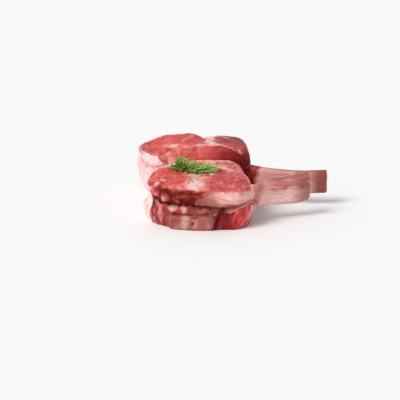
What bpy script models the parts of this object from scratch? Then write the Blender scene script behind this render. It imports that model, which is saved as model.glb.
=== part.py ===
"""Raw prime rib roast: two bone-in rib pieces lying against each other, each on its cut face.

+X runs along the rib bones, -Y is the chest side of the front piece and +Z is up. The sizes are in
millimetres until a point is placed, and MM turns it into metres. The last step sets the roast with
the middle of its box on the origin, standing on z = 0.
"""

import math

import bmesh
import bpy
from mathutils import Vector

MM = 0.001
GAP = 0.4  # clear space kept between neighbouring bodies

# Both pieces are given the same way. outline: the piece from above, counter-clockwise. level: the
# height of its cut top. edge: the radius at which the top rounds into the wall. A swell is (where,
# reach, amount): top_swells raise the top, edge_swells make its rounding broader, and wall_swells
# push the wall outwards. fat: the points of the outline between which the fat cap lies, and how
# thick it is.
FRONT = {
    "outline": [
        (-64, -45), (-62, -64), (-52, -81), (-34, -96), (-8, -107), (26, -108), (50, -104), (62, -89),
        (64, -64), (58, -32), (51, -3), (28, 8.5), (-6, 9), (-38, 5), (-57, -14),
    ],
    "middle": (2, -52),
    "level": 50,
    "edge": 6,
    "top_swells": [
        ((20, 0), (90, 60), 3.5),
        ((-72, -40), (26, 60), -5),
        ((34, -66), (26, 26), 2.5),
        ((-28, -62), (22, 22), 2),
        ((2, -76), (9, 30), -2),
        ((42, -14), (16, 14), 1.5),
    ],
    "edge_swells": [],
    "wall_swells": [
        ((5, -106, 28), (62, 24, 3.5), -3.5),
        ((-22, -100, 42), (22, 20, 8), 1.5),
        ((48, -108, 15), (22, 26, 12), 3),
        ((24, -108, 8), (7, 20, 12), -2.5),
        ((68, -88, 27), (22, 30, 8), 9),
        ((-46, -88, 14), (16, 20, 12), 3),
        ((-64, -52, 14), (30, 40, 9), 4),
        ((-64, -52, 34), (30, 40, 7), -2),
    ],
    "fat": {"first": 10.5, "last": 16.25, "thick": 8.5},
}
REAR = {
    "outline": [
        (-79, 70), (-74, 48), (-65, 28), (-50, 15), (-24, 11.5), (6, 11), (34, 11), (53, 9), (62, 20),
        (62, 42), (57, 66), (34, 76), (8, 70), (-18, 84), (-46, 88), (-69, 85),
    ],
    "middle": (-6, 46),
    "level": 71,
    "edge": 5,
    "top_swells": [
        ((-92, 62), (38, 60), -20),
        ((-48, 8), (22, 20), -13),
        ((10, 24), (60, 14), 2),
        ((-18, 62), (34, 24), 3.5),
        ((8, 70), (9, 24), -5),
        ((40, 58), (24, 24), 1.5),
        ((66, 8), (16, 16), -8),
    ],
    "edge_swells": [((6, 10), (70, 12), 10)],
    "wall_swells": [
        ((10, 10, 60), (60, 12, 8), 5),
        ((64, 12, 46), (16, 12, 16), 6),
        ((-72, 44, 40), (26, 34, 12), 2),
        ((-72, 44, 22), (26, 34, 7), -1.5),
        ((0, 84, 34), (90, 30, 22), 5),
        ((64, 40, 36), (20, 30, 20), 3),
    ],
    "fat": {"first": 10.5, "last": 19.25, "thick": 9},
}
COLUMNS_PER_POINT = 4
FOOT_ROWS = 3
WALL_ROWS = 8
TOP_ROWS = 8
FAT_TOP_ROWS = 4
FAT_TIP = 1.2  # thickness of a fat cap at its two ends
FAT_END_GAP = 0.06  # how far the ends stop short of the lean, in points of the outline

# Each rib: ((x, y, z) of its middle line, height of its section there).
FRONT_RIB = [
    ((-3, -102, 37.5), 17), ((20, -104.5, 38), 18.5), ((44, -103.5, 38), 20), ((60, -88.5, 36.5), 25),
    ((76, -71, 34.5), 30), ((101, -60, 33.5), 31.5), ((121, -54, 35), 33), ((135.5, -48, 38), 36),
]
REAR_RIB = [
    ((34, 24, 36), 26), ((58, 14, 35), 28), ((82, 5, 32), 29), ((108, 0, 30), 29),
    ((136, -3, 29.5), 28.5), ((163.5, -4, 30.5), 29.5),
]
RIB_THICK = 13
RIB_CORNER = 2.6  # exponent of the section: 2 is an ellipse, more is squarer
RIB_SIDES = 16
RIB_RINGS = 20

# The sawn vertebra at the foot of the front piece, and the sprig, given as the ribs are.
CHINE = [
    ((-32, -96, 8), 15), ((-22, -100, 8.3), 17.5), ((-8, -103, 8.3), 17.5), ((8, -103.5, 8.3), 17),
    ((20, -103.5, 8), 13),
]
CHINE_THICK = 16
CHINE_CORNER = 4
CHINE_SIDES = 20
CHINE_RINGS = 14

SPRIG = [
    ((-33, -1, 59.5), 2.5), ((-19, -11, 59.5), 9), ((-4, -24, 59.5), 10.5), ((9, -30, 59.5), 10),
    ((24, -35, 58.5), 2.5),
]
SPRIG_WIDE = 18
SPRIG_SIDES = 12
SPRIG_RINGS = 12

COLOURS = {
    "front_meat": (0.45, 0.07, 0.06),
    "front_fat_cap": (0.84, 0.62, 0.52),
    "front_rib_bone": (0.62, 0.36, 0.31),
    "chine_bone": (0.66, 0.42, 0.34),
    "rear_meat": (0.42, 0.06, 0.05),
    "rear_fat_cap": (0.84, 0.62, 0.54),
    "rear_rib_bone": (0.50, 0.28, 0.25),
    "rosemary_sprig": (0.07, 0.20, 0.04),
}
GLOSS = {"meat": 0.32, "cap": 0.42, "bone": 0.45, "sprig": 0.5}


def clear_scene():
    for old in list(bpy.data.objects):
        bpy.data.objects.remove(old, do_unlink=True)


def spline(before, start, end, after, share):
    """Point and direction on a smooth curve from start to end, where share is 0 to 1."""
    linear = end - before
    square = 2 * before - 5 * start + 4 * end - after
    cube = 3 * start - before - 3 * end + after
    point = 0.5 * (2 * start + linear * share + square * share**2 + cube * share**3)
    along = 0.5 * (linear + 2 * square * share + 3 * cube * share**2)
    return point, along.normalized()


def on_loop(points, at):
    """Point and outward direction at place `at` on a closed outline, counted in its points."""
    first = math.floor(at)
    near = [Vector(points[(first + step) % len(points)]) for step in (-1, 0, 1, 2)]
    point, along = spline(*near, at - first)
    return point, Vector((along.y, -along.x))


def on_path(stations, share):
    """Point, direction and section height at a share of an open run of ((x, y, z), height)."""
    at = share * (len(stations) - 1)
    first = min(math.floor(at), len(stations) - 2)
    steps = [min(max(first + step, 0), len(stations) - 1) for step in (-1, 0, 1, 2)]
    point, along = spline(*[Vector(stations[step][0]) for step in steps], at - first)
    low, high = stations[first][1], stations[first + 1][1]
    return point, along, low + (high - low) * (at - first)


def bell(place, centre, reach):
    """1 at the centre, falling smoothly to almost 0 at twice the reach."""
    return math.exp(-sum(((a - b) / c) ** 2 for a, b, c in zip(place, centre, reach)))


def top_height(piece, x, y):
    return piece["level"] + sum(rise * bell((x, y), *where) for *where, rise in piece["top_swells"])


def edge_drop(piece, rim, depth):
    """How far the top has rounded down at this depth inside the wall, near this point of the rim."""
    radius = piece["edge"] + sum(more * bell(rim, *where) for *where, more in piece["edge_swells"])
    inside = max(radius - depth, 0)
    return radius - math.sqrt(radius**2 - inside**2)


def wall_spot(piece, at, depth, rise):
    """A point `depth` inside the wall at column `at`, where rise is 0 at the foot and 1 at the top."""
    edge, outward = on_loop(piece["outline"], at)
    inner = edge - outward * depth
    z = rise * (top_height(piece, *inner) - edge_drop(piece, edge, depth))
    push = sum(amount * bell((*edge, z), *where) for *where, amount in piece["wall_swells"])
    return Vector((*(inner + outward * push), z))


def fat_depth(piece, at):
    """Thickness of the fat cap at a column, and 0 where there is none."""
    fat = piece["fat"]
    count = len(piece["outline"])
    run = fat["last"] - fat["first"]
    share = ((at - fat["first"]) % count) / run
    if share > 1 + 1e-6:
        return 0
    return FAT_TIP + (fat["thick"] - FAT_TIP) * min(1, 3.2 * math.sin(math.pi * min(share, 1)))


def lean_spot(piece, at, row):
    """Surface point of the lean: foot rows from the middle out, then the wall, then the top."""
    fat = fat_depth(piece, at)
    depth = fat + GAP if fat else 0
    middle = Vector(piece["middle"])
    if row < FOOT_ROWS:
        rim = wall_spot(piece, at, depth, 0)
        flat = middle.lerp(rim.xy, row / FOOT_ROWS)
        return Vector((*flat, 0))
    if row <= FOOT_ROWS + WALL_ROWS:
        return wall_spot(piece, at, depth, (row - FOOT_ROWS) / WALL_ROWS)
    rim = wall_spot(piece, at, depth, 1)
    # The rings crowd towards the rim, where the top rounds over.
    share = 1 - ((row - FOOT_ROWS - WALL_ROWS) / TOP_ROWS) ** 1.5
    spot = middle.lerp(rim.xy, share)
    drop = edge_drop(piece, rim.xy, depth + (rim.xy - spot).length)
    return Vector((*spot, top_height(piece, *spot) - drop))


def fat_section(piece, at):
    """Points round the fat cap's section at a column: up the outer wall, over, and down inside."""
    thick = fat_depth(piece, at)
    outer = [wall_spot(piece, at, 0, row / WALL_ROWS) for row in range(WALL_ROWS + 1)]
    over = [wall_spot(piece, at, thick * row / FAT_TOP_ROWS, 1) for row in range(1, FAT_TOP_ROWS)]
    inner = [wall_spot(piece, at, thick, row / WALL_ROWS) for row in range(WALL_ROWS, -1, -1)]
    return outer + over + inner


def finish(name, bm):
    """Make the object from a bmesh in millimetres, with its own material."""
    bmesh.ops.scale(bm, vec=(MM, MM, MM), verts=bm.verts)
    bmesh.ops.recalc_face_normals(bm, faces=bm.faces)
    mesh = bpy.data.meshes.new(name)
    bm.to_mesh(mesh)
    bm.free()
    mesh.shade_smooth()
    material = bpy.data.materials.new(name)
    material.use_nodes = True
    shader = material.node_tree.nodes["Principled BSDF"]
    shader.inputs["Base Color"].default_value = (*COLOURS.get(name, (1, 1, 1)), 1)
    shader.inputs["Roughness"].default_value = GLOSS.get(name.split("_")[-1], 0.5)
    mesh.materials.append(material)
    return bpy.data.objects.new(name, mesh)


def lean_body(name, piece):
    """A ball whose rings become the foot, the wall and the top of the lean."""
    columns = COLUMNS_PER_POINT * len(piece["outline"])
    rows = FOOT_ROWS + WALL_ROWS + TOP_ROWS
    bm = bmesh.new()
    bmesh.ops.create_uvsphere(bm, u_segments=columns, v_segments=rows, radius=1)
    for vert in bm.verts:
        row = round((1 - math.acos(max(-1, min(1, vert.co.z))) / math.pi) * rows)
        column = round(math.atan2(vert.co.y, vert.co.x) / math.tau * columns)
        vert.co = lean_spot(piece, column / COLUMNS_PER_POINT, row)
    return finish(name, bm)


def tube_body(name, sides, rings, place):
    """A capped tube of sides by rings, each of whose points goes to place(side, ring)."""
    bm = bmesh.new()
    bmesh.ops.create_cone(
        bm, cap_ends=True, cap_tris=False, segments=sides, radius1=1, radius2=1, depth=rings
    )
    lengthwise = [edge for edge in bm.edges if abs(edge.verts[0].co.z - edge.verts[1].co.z) > 0.5]
    bmesh.ops.subdivide_edges(bm, edges=lengthwise, cuts=rings - 1, use_grid_fill=True)
    for vert in bm.verts:
        ring = round(vert.co.z + rings / 2)
        side = round(math.atan2(vert.co.y, vert.co.x) / math.tau * sides) % sides
        vert.co = place(side, ring)
    return finish(name, bm)


def fat_cap(name, piece):
    """The outer fat, from the wall inwards, thinning towards both ends."""
    fat = piece["fat"]
    rings = round((fat["last"] - fat["first"]) * COLUMNS_PER_POINT)
    columns = [fat["first"] + ring / COLUMNS_PER_POINT for ring in range(rings + 1)]
    columns[0] += FAT_END_GAP
    columns[-1] -= FAT_END_GAP
    sections = [fat_section(piece, column) for column in columns]
    return tube_body(name, len(sections[0]), rings, lambda side, ring: sections[ring][side])


def rounded(angle, corner):
    """A point of a unit section: a circle when corner is 2, squarer when it is more."""
    turn = Vector((math.cos(angle), math.sin(angle)))
    reach = (abs(turn.x) ** corner + abs(turn.y) ** corner) ** (-1 / corner)
    return turn * reach


def bone(name, stations, sides, rings, thick, corner, grow=0):
    """A flat bar on edge along its stations; grow makes it larger all round, as a cutter."""
    _, along_start, _ = on_path(stations, 0)
    _, along_end, _ = on_path(stations, 1)

    def place(side, ring):
        point, along, height = on_path(stations, ring / rings)
        across = Vector((along.y, -along.x, 0)).normalized()
        section = rounded(math.tau * side / sides, corner)
        spot = point + across * section.x * (thick / 2 + grow)
        spot.z += section.y * (height / 2 + grow)
        if ring == 0:
            spot -= along_start * grow
        if ring == rings:
            spot += along_end * grow
        return spot

    return tube_body(name, sides, rings, place)


def clear_of(body, cutters, *makers):
    """Cut from a body the room that its neighbours take, with the gap all round them."""
    for maker in makers:
        cutter = maker(grow=GAP)
        cutter.name = f"room_for_{cutter.name}"
        cutter.hide_render = True
        cutter.display_type = "WIRE"
        cutters.objects.link(cutter)
        cut = body.modifiers.new(cutter.name, "BOOLEAN")
        cut.operation = "DIFFERENCE"
        cut.object = cutter


def front_rib(grow=0):
    return bone("front_rib_bone", FRONT_RIB, RIB_SIDES, RIB_RINGS, RIB_THICK, RIB_CORNER, grow)


def rear_rib(grow=0):
    return bone("rear_rib_bone", REAR_RIB, RIB_SIDES, RIB_RINGS, RIB_THICK, RIB_CORNER, grow)


def chine(grow=0):
    body = bone("chine_bone", CHINE, CHINE_SIDES, CHINE_RINGS, CHINE_THICK, CHINE_CORNER, grow)
    # Its sawn foot is flat and lies level with the foot of the meat.
    for vert in body.data.vertices:
        vert.co.z = max(vert.co.z, -grow * MM)
    return body


def sprig():
    return bone("rosemary_sprig", SPRIG, SPRIG_SIDES, SPRIG_RINGS, SPRIG_WIDE, 2)


def set_on_origin(bodies, cutters):
    """Move every mesh so that the roast's box stands centred on the origin."""
    corners = [vert.co for body in bodies for vert in body.data.vertices]
    low = Vector(min(corner[axis] for corner in corners) for axis in range(3))
    high = Vector(max(corner[axis] for corner in corners) for axis in range(3))
    shift = Vector((-(low.x + high.x) / 2, -(low.y + high.y) / 2, -low.z))
    for body in bodies + cutters:
        for vert in body.data.vertices:
            vert.co += shift


def main():
    clear_scene()
    roast = bpy.data.collections.new("prime_rib_roast")
    cutters = bpy.data.collections.new("cutters")
    for collection in (roast, cutters):
        bpy.context.scene.collection.children.link(collection)

    front_meat = lean_body("front_meat", FRONT)
    clear_of(front_meat, cutters, front_rib, chine)
    rear_meat = lean_body("rear_meat", REAR)
    clear_of(rear_meat, cutters, rear_rib)
    bodies = [
        front_meat,
        fat_cap("front_fat_cap", FRONT),
        front_rib(),
        chine(),
        rear_meat,
        fat_cap("rear_fat_cap", REAR),
        rear_rib(),
        sprig(),
    ]
    for body in bodies:
        roast.objects.link(body)
    set_on_origin(bodies, list(cutters.objects))


main()
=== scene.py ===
# %% [markdown]
# # A raw rib roast with long clean bones
#
# The joint lies on its cut face as two halves, one behind the other. Each half has a round eye of lean, a cap
# of hard fat on its outer side and one scraped rib that leaves it to the right. A sawn piece of backbone is
# still in the front half, and a sprig of rosemary lies on top.
#
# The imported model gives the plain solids. This lesson gives them their true surface: the flesh is grown into
# one fine skin for each half, shaped with soft pushes along its normals, and painted with named tissue tones.

import itertools
import math
import random

import bmesh
import bpy
import numpy as np
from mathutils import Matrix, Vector
from mathutils.bvhtree import BVHTree


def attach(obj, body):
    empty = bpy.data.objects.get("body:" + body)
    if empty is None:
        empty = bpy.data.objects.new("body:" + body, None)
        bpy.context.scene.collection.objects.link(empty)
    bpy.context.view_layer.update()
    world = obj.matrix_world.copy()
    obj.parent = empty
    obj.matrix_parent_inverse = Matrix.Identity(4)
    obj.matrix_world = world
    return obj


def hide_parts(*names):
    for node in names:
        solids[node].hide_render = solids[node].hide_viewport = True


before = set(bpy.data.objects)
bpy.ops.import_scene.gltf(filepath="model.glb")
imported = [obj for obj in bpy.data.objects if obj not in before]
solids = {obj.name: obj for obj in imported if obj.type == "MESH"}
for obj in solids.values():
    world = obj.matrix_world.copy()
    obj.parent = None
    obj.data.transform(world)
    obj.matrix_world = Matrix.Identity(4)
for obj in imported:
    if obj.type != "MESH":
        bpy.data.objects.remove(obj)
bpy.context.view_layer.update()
MM = 0.001
print("solids:", sorted(solids))

# %% [markdown]
# ## Tones of meat, fat and bone
#
# A meat surface is a patchwork of a few tissues. Naming their tones once keeps every later step readable, and
# a change to one tissue then changes it everywhere. Screen values are turned into the linear ones that a
# shader wants.


# %% Tones
def tone(red, green, blue):
    """A linear colour from the 0 to 255 values that a screen shows."""
    part = np.array([red, green, blue]) / 255.0
    return np.where(part <= 0.04045, part / 12.92, ((part + 0.055) / 1.055) ** 2.4)


TONES = {
    "cherry lean": tone(202, 66, 68),
    "orange lean": tone(218, 66, 58),
    "deep lean and shade": tone(146, 34, 34),
    "bright lean": tone(204, 62, 60),
    "dried lean and shade": tone(112, 26, 14),
    "burnt lean": tone(158, 64, 44),
    "rose lean": tone(228, 104, 100),
    "pale lean": tone(236, 150, 132),
    "hard fat": tone(243, 212, 210),
    "cream fat": tone(240, 192, 170),
    "pink fat": tone(232, 148, 144),
    "membrane": tone(240, 176, 170),
    "brown membrane and shade": tone(168, 92, 80),
    "hollow shade": tone(42, 4, 2),
    "maroon": tone(92, 10, 10),
    "grey vein and crease shade": tone(196, 150, 156),
    "rib top": tone(202, 122, 114),
    "rib face": tone(246, 194, 186),
    "rib shade": tone(150, 78, 70),
    "sawn bone": tone(146, 66, 54),
    "grey bone": tone(166, 94, 88),
    "cartilage": tone(236, 178, 156),
    "marrow": tone(110, 20, 16),
}
print(len(TONES), "tones")

# %% [markdown]
# ## Soft masks
#
# Every seam, fat patch and crease is a soft mask: a number from 0 to 1 for each point of the skin. Three
# helpers make nearly all of them: the distance to a line on the surface, an oval spot, and smooth noise that
# breaks up their edges. NumPy works on all the points at once, so a fine skin still takes only a moment.


# %% Mask helpers
TOP, WALL = (0, 1), (0, 2)  # the two axes that a feature is drawn on: seen from above, or from the front


def rise(value, start, end):
    """0 before start and 1 past end, with a soft step between them. Start may be the larger one."""
    t = np.clip((value - start) / (end - start), 0.0, 1.0)
    return t * t * (3.0 - 2.0 * t)


def noise(points, size, seed):
    """Smooth noise from about -1 to 1 in lumps of about size mm. Three sizes stretch the lumps."""
    draw = np.random.default_rng(seed)
    slopes = draw.normal(size=(32, 32, 32, 3))
    slopes /= np.linalg.norm(slopes, axis=-1, keepdims=True)
    turn = np.linalg.qr(draw.normal(size=(3, 3)))[0]  # a turned grid, so that no lump follows an axis
    place = (points / np.array(size)) @ turn + draw.uniform(0.0, 32.0, 3)
    cell = np.floor(place).astype(int)
    part = place - cell
    soft = part**3 * (part * (part * 6.0 - 15.0) + 10.0)
    total = np.zeros(len(points))
    for corner in itertools.product((0, 1), repeat=3):
        share = np.prod(np.where(corner, soft, 1.0 - soft), axis=1)
        slope = slopes[tuple(((cell + corner) % 32).T)]
        total += share * ((part - corner) * slope).sum(1)
    return total * 1.6


def off_line(points, line, axes):
    """Distance in mm of each point from a line through the given places, measured on the axes given."""
    flat = points[:, axes]
    nearest = np.full(len(flat), 1e9)
    for start, end in itertools.pairwise(np.array(line, float)):
        way = end - start
        t = np.clip((flat - start) @ way / (way @ way), 0.0, 1.0)
        nearest = np.minimum(nearest, np.linalg.norm(flat - start - t[:, None] * way, axis=1))
    return nearest


def near_line(points, line, axes, full, none):
    """1 within full mm of such a line, and 0 further from it than none mm."""
    return 1.0 - rise(off_line(points, line, axes), full, none)


def spot(points, middle, radii, axes, turn=0.0, edge=0.45):
    """1 inside an oval and 0 outside it. Turn is in degrees, and edge says how soft its rim is."""
    flat = points[:, axes] - np.array(middle, float)
    cos, sin = math.cos(math.radians(turn)), math.sin(math.radians(turn))
    flat = flat @ np.array([[cos, -sin], [sin, cos]]) / np.array(radii, float)
    return 1.0 - rise(np.linalg.norm(flat, axis=1), 1.0 - edge, 1.0 + edge)


print("mask helpers ready")

# %% [markdown]
# ## A fine skin for each half
#
# Lean and fat grow into each other on real meat, so two separate solids with a gap would look like toys. The
# copies of a half's solids are swollen a little until they overlap, and a voxel Remesh makes one even skin
# round them. The even quads then take any relief, which a stretched CAD surface wouldn't. The CAD solids
# stay as they are: only copies are merged and changed.

# %% Skin helpers
SWELL = 0.35  # mm that each copy grows, to close the gap to its neighbour
FINE = 0.9  # mm between the points of a skin


def merged_copy(name):
    """A bmesh of a CAD solid with its loose triangles merged."""
    copy = bmesh.new()
    copy.from_mesh(solids[name].data)
    bmesh.ops.remove_doubles(copy, verts=copy.verts, dist=0.01 * MM)
    return copy


def swollen_copy(names, swell, roots):
    """One mesh of copies of the solids, each grown by swell mm but not below the board.

    A solid named in roots is first cut off to the right of that X, in mm, so that only its root is kept."""
    together = bmesh.new()
    for name in names:
        copy = merged_copy(name)
        if name in roots:
            everything = copy.verts[:] + copy.edges[:] + copy.faces[:]
            plane = {"plane_co": (roots[name] * MM, 0, 0), "plane_no": (1, 0, 0)}
            bmesh.ops.bisect_plane(copy, geom=everything, clear_outer=True, **plane)
            bmesh.ops.holes_fill(copy, edges=[e for e in copy.edges if e.is_boundary])
        copy.normal_update()
        for vert in copy.verts:
            vert.co += vert.normal * swell * MM
            vert.co.z = max(vert.co.z, 0.0)
        grown = bpy.data.meshes.new(name + "_grown")
        copy.to_mesh(grown)
        copy.free()
        together.from_mesh(grown)
        bpy.data.meshes.remove(grown)
    mesh = bpy.data.meshes.new("together")
    together.to_mesh(mesh)
    together.free()
    return mesh


def even_skin(names, spacing, swell=SWELL, soften=4, roots=()):
    """A closed mesh of even quads round the copies, softened a few times."""
    rough = bpy.data.objects.new("rough", swollen_copy(names, swell, dict(roots)))
    bpy.context.scene.collection.objects.link(rough)
    remesh = rough.modifiers.new("even quads", "REMESH")
    remesh.mode = "VOXEL"
    remesh.voxel_size = spacing * MM
    smooth = rough.modifiers.new("soften", "SMOOTH")
    smooth.factor = 0.5
    smooth.iterations = soften
    graph = bpy.context.evaluated_depsgraph_get()
    skin = bpy.data.meshes.new_from_object(rough.evaluated_get(graph))
    bpy.data.objects.remove(rough)
    return skin


def paint_points(mesh, tints):
    """Stores one colour for each point of a mesh."""
    colour = mesh.attributes.new("tint", "FLOAT_COLOR", "POINT")
    full = np.ones((len(tints), 4), np.float32)
    full[:, :3] = tints
    colour.data.foreach_set("color", full.ravel())


class Skin:
    """A skin being shaped and painted: its points in mm, its normals and, for each point, its paints."""

    def __init__(self, nodes, spacing, **options):
        self.mesh = even_skin(nodes, spacing, **options)
        self.read()
        count = len(self.points)
        self.tint = np.ones((count, 3))
        self.marble = np.zeros(count)
        self.streak = np.zeros(count)
        self.dull = np.zeros(count)
        print(nodes, count, "points")

    def read(self):
        flat = np.empty(len(self.mesh.vertices) * 3, np.float32)
        self.mesh.vertices.foreach_get("co", flat)
        self.points = flat.reshape(-1, 3).astype(float) / MM
        self.mesh.vertices.foreach_get("normal", flat)
        self.normals = flat.reshape(-1, 3).astype(float)

    def push(self, height, way=None):
        """Moves the points by height mm along their normals or along one way, but not below the board."""
        self.points += (self.normals if way is None else np.array(way)) * np.reshape(height, (-1, 1))
        self.points[:, 2] = np.maximum(self.points[:, 2], 0.0)
        self.mesh.vertices.foreach_set("co", (self.points * MM).astype(np.float32).ravel())
        self.mesh.update()
        self.read()

    def paint(self, name, share):
        """Lays a tone over the skin, where share is from 0 to 1."""
        share = np.clip(share, 0.0, 1.0)[:, None]
        self.tint = self.tint * (1.0 - share) + TONES[name] * share

    def store(self):
        """Writes the paints to the mesh as attributes that the materials read."""
        paint_points(self.mesh, self.tint)
        for name in ("marble", "streak", "dull"):
            paint = self.mesh.attributes.new(name, "FLOAT", "POINT")
            paint.data.foreach_set("value", getattr(self, name).astype(np.float32))


def distance_to(node, points):
    """Distance in mm from each point to a CAD solid's surface."""
    copy = bmesh.new()
    copy.from_mesh(solids[node].data)
    tree = BVHTree.FromBMesh(copy)
    copy.free()
    return np.array([tree.find_nearest(Vector(p))[3] for p in points * MM]) / MM


print("skin helpers ready")

# %% [markdown]
# ## Materials
#
# Raw lean is wet: a sharp, uneven gloss over a deep colour, with a mosaic of fibre bundles and white marbling
# in it. Fat is waxy and softer in its shine. Clean bone is dry, with scratches along it. Each material takes
# its base tone from the painted attribute and adds the detail that is finer than the skin's quads.


# %% Material helpers
def new_material(name):
    """A new material, with its node tree and its shader."""
    material = bpy.data.materials.new(name)
    material.use_nodes = True
    tree = material.node_tree
    shader = tree.nodes["Principled BSDF"]
    return material, tree, shader


def node(tree, kind, values=None, **settings):
    """Adds a node, sets its properties, and fills or links its inputs."""
    made = tree.nodes.new("ShaderNode" + kind)
    for key, value in settings.items():
        setattr(made, key, value)
    for key, value in (values or {}).items():
        if isinstance(value, bpy.types.NodeSocket):
            tree.links.new(value, made.inputs[key])
        else:
            made.inputs[key].default_value = value
    return made


def attribute(tree, name):
    """The socket of a painted attribute."""
    made = node(tree, "Attribute", attribute_name=name)
    return made.outputs["Color" if name == "tint" else "Fac"]


def stretched(tree, scale):
    """Object coordinates in metres, scaled by three numbers."""
    place = node(tree, "TexCoord").outputs["Object"]
    return node(tree, "Mapping", {"Vector": place, "Scale": scale}).outputs["Vector"]


def speckle(tree, scale, detail=3.0, roughness=0.55, stretch=(1.0, 1.0, 1.0), distortion=0.0):
    """Noise from 0 to 1, with scale in lumps per metre."""
    values = {
        "Vector": stretched(tree, stretch),
        "Scale": scale,
        "Detail": detail,
        "Roughness": roughness,
        "Distortion": distortion,
    }
    return node(tree, "TexNoise", values).outputs["Fac"]


def cells(tree, scale, stretch=(1.0, 1.0, 1.0)):
    """Distance from the middle of each cell, for bundles and pores."""
    values = {"Vector": stretched(tree, stretch), "Scale": scale}
    return node(tree, "TexVoronoi", values).outputs["Distance"]


def ramp(tree, value, low, high, to_low=0.0, to_high=1.0):
    """Maps low..high to to_low..to_high with soft ends."""
    values = {"Value": value, "From Min": low, "From Max": high, "To Min": to_low, "To Max": to_high}
    return node(tree, "MapRange", values, interpolation_type="SMOOTHSTEP").outputs["Result"]


def maths(tree, operation, first, second=0.5):
    """One maths step between two values or sockets."""
    return node(tree, "Math", {0: first, 1: second}, operation=operation).outputs["Value"]


def blend(tree, share, first, second, kind="MIX"):
    """A mix of two colours."""
    made = node(tree, "Mix", data_type="RGBA", blend_type=kind)
    for key, value in (("Factor", share), ("A", first), ("B", second)):
        socket = [s for s in made.inputs if s.name == key and s.enabled][0]
        if isinstance(value, bpy.types.NodeSocket):
            tree.links.new(value, socket)
        else:
            socket.default_value = value
    return [s for s in made.outputs if s.enabled][0]


def bump(tree, shader, height, strength, distance):
    """Gives the shader a relief of distance mm from a height socket."""
    values = {"Height": height, "Strength": strength, "Distance": distance * MM}
    normal = node(tree, "Bump", values).outputs["Normal"]
    tree.links.new(normal, shader.inputs["Normal"])


def four(name):
    """A tone as the four numbers of a colour socket."""
    return (*TONES[name], 1.0)


print("material helpers ready")


# %% Raw lean
def raw_lean_material():
    """Wet raw beef: fibre bundles, marbling veins and an uneven wet gloss over the painted tone."""
    material, tree, shader = new_material("raw_lean")
    bundles = ramp(tree, cells(tree, 620.0, (1.0, 0.6, 0.45)), 0.0, 0.75, 1.06, 0.80)
    mottle = ramp(tree, speckle(tree, 170.0, 3.0, 0.6, (1.0, 0.45, 0.7)), 0.32, 0.68, 0.80, 1.16)
    strands = ramp(tree, speckle(tree, 220.0, 2.0, 0.5, (1.0, 1.0, 0.14)), 0.3, 0.7, 0.80, 1.14)
    bundled = blend(tree, attribute(tree, "marble"), (1.0, 1.0, 1.0, 1.0), bundles)
    plain = blend(tree, 1.0, attribute(tree, "tint"), bundled, "MULTIPLY")
    mottled = blend(tree, attribute(tree, "marble"), (1.0, 1.0, 1.0, 1.0), mottle)
    strands_here = blend(tree, attribute(tree, "streak"), mottled, strands)
    fibres = blend(tree, 1.0, plain, strands_here, "MULTIPLY")
    veins = speckle(tree, 62.0, 5.0, 0.65, (1.0, 0.6, 0.7), 0.3)
    vein_line = ramp(tree, maths(tree, "ABSOLUTE", maths(tree, "SUBTRACT", veins)), 0.0, 0.035, 0.5, 0.0)
    vein_part = maths(tree, "MULTIPLY", vein_line, ramp(tree, speckle(tree, 80.0, 2.0), 0.48, 0.62))
    flecks = ramp(tree, speckle(tree, 150.0, 4.0, 0.6, (1.0, 0.5, 0.6)), 0.50, 0.74, 0.0, 0.7)
    fat_share = maths(tree, "MULTIPLY", maths(tree, "MAXIMUM", vein_part, flecks), attribute(tree, "marble"))
    marbled = blend(tree, fat_share, fibres, four("pink fat"))
    tree.links.new(marbled, shader.inputs["Base Color"])
    wet = ramp(tree, speckle(tree, 160.0, 3.0), 0.35, 0.7, 0.30, 0.52)
    rough = maths(tree, "ADD", wet, maths(tree, "MULTIPLY", attribute(tree, "dull"), 0.3))
    tree.links.new(rough, shader.inputs["Roughness"])
    gloss = ramp(tree, attribute(tree, "dull"), 0.0, 1.0, 0.22, 0.02)
    tree.links.new(gloss, shader.inputs["Specular IOR Level"])
    shader.inputs["Subsurface Weight"].default_value = 0.12
    shader.inputs["Subsurface Radius"].default_value = (1.0, 0.35, 0.25)
    shader.inputs["Subsurface Scale"].default_value = 0.002
    relief = maths(tree, "ADD", bundles, maths(tree, "MULTIPLY", speckle(tree, 900.0, 3.0), 0.6))
    bump(tree, shader, relief, 0.5, 0.35)
    return material


# %% Raw fat
def fat_material():
    """Hard raw fat: waxy, with faint lobes, a few pink stains and fine wrinkles over the painted tone."""
    material, tree, shader = new_material("raw_fat")
    lobes = ramp(tree, cells(tree, 170.0, (1.0, 1.0, 0.8)), 0.1, 0.9, 1.03, 0.93)
    lobed = blend(tree, 1.0, attribute(tree, "tint"), lobes, "MULTIPLY")
    stain = ramp(tree, speckle(tree, 60.0, 5.0, 0.65, (0.6, 0.6, 1.5), 1.0), 0.50, 0.78, 0.0, 0.35)
    stained = blend(tree, stain, lobed, four("pink fat"))
    tree.links.new(stained, shader.inputs["Base Color"])
    tree.links.new(ramp(tree, speckle(tree, 120.0, 3.0), 0.3, 0.7, 0.36, 0.55), shader.inputs["Roughness"])
    shader.inputs["Specular IOR Level"].default_value = 0.4
    shader.inputs["Subsurface Weight"].default_value = 0.2
    shader.inputs["Subsurface Radius"].default_value = (1.0, 0.6, 0.45)
    shader.inputs["Subsurface Scale"].default_value = 0.003
    wrinkles = maths(tree, "ADD", lobes, maths(tree, "MULTIPLY", speckle(tree, 420.0, 4.0), 0.5))
    bump(tree, shader, wrinkles, 0.5, 0.5)
    return material


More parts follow.
